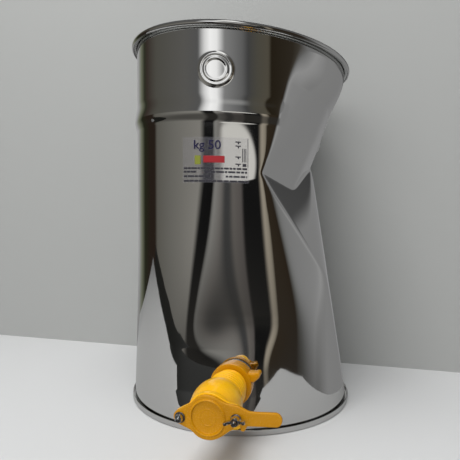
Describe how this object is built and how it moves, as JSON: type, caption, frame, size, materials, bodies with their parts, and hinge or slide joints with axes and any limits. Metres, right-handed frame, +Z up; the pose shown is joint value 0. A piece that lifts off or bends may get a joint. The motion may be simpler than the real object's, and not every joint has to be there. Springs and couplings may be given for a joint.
{
  "type": "honey settling tank with double sieve",
  "caption": "Open steel honey tank with a rolled rim, a buckled side, a plastic honey gate near the foot and a nested double sieve in its mouth.",
  "frame": {"origin": "on the floor, on the axis of the tank's foot", "axes": "+Z up, -Y the way the honey gate points, +X to the right seen from the gate side"},
  "size_m": [0.316, 0.431, 0.5031],
  "materials": {
    "mirror_steel": "mirror-polished stainless sheet",
    "satin_steel": "plain stainless steel",
    "sieve_mesh": "woven stainless wire",
    "zinc_steel": "bright zinc-plated",
    "yellow_plastic": "moulded, semi-gloss",
    "seal_rubber": "matt",
    "label_film": "clear printed film"
  },
  "bodies": {
    "tank": {"tank_shell": "mirror_steel", "rim_wire": "satin_steel", "bottom_pan": "satin_steel", "foot_ring": "mirror_steel", "capacity_label": "label_film", "outlet_ferrule": "satin_steel", "union_gasket": "seal_rubber", "gate_body": "yellow_plastic", "face_seal": "seal_rubber", "pivot_bolt": "zinc_steel", "pivot_washer": "zinc_steel", "pivot_dome_nut": "zinc_steel", "clamp_bolt": "zinc_steel"},
    "lock_ring": {"lock_ring": "yellow_plastic"},
    "blade": {"gate_blade": "yellow_plastic"},
    "clamp_washer": {"clamp_washer": "zinc_steel"},
    "wing_nut": {"wing_nut": "zinc_steel"},
    "fine_sieve": {"fine_sieve_hoop": "satin_steel", "fine_sieve_basket": "sieve_mesh", "fine_sieve_floor_band": "satin_steel"},
    "coarse_sieve": {"coarse_sieve_hoop": "satin_steel", "coarse_sieve_basket": "sieve_mesh", "coarse_sieve_floor_band": "satin_steel"}
  },
  "joints": [
    {"name": "blade_swing", "type": "hinge", "parent": "tank", "child": "blade", "pos_m": [0.00167, -0.258, 0.06368], "axis": [0, -1, 0], "range_deg": [0, 95]},
    {"name": "clamp_washer_travel", "type": "slide", "parent": "tank", "child": "clamp_washer", "axis": [0, -1, 0], "range_m": [0, 0.0016]},
    {"name": "wing_nut_spin", "type": "hinge", "parent": "clamp_washer", "child": "wing_nut", "pos_m": [0.05753, -0.266, 0.06759], "axis": [0, -1, 0], "range_deg": [0, 720]},
    {"name": "lock_ring_turn", "type": "hinge", "parent": "tank", "child": "lock_ring", "pos_m": [0.0291, -0.162, 0.0656], "axis": [0, -1, 0], "range_deg": [0, 360]},
    {"name": "fine_sieve_lift", "type": "slide", "parent": "tank", "child": "fine_sieve", "axis": [0.1192, 0.028, 0.9925], "range_m": [0, 0.13]},
    {"name": "coarse_sieve_lift", "type": "slide", "parent": "fine_sieve", "child": "coarse_sieve", "axis": [0.1192, 0.028, 0.9925], "range_m": [0, 0.09]}
  ],
  "couplings": [
    {"joint": "clamp_washer_travel", "follows": "wing_nut_spin", "m_per_rad": 0.00012732}
  ]
}
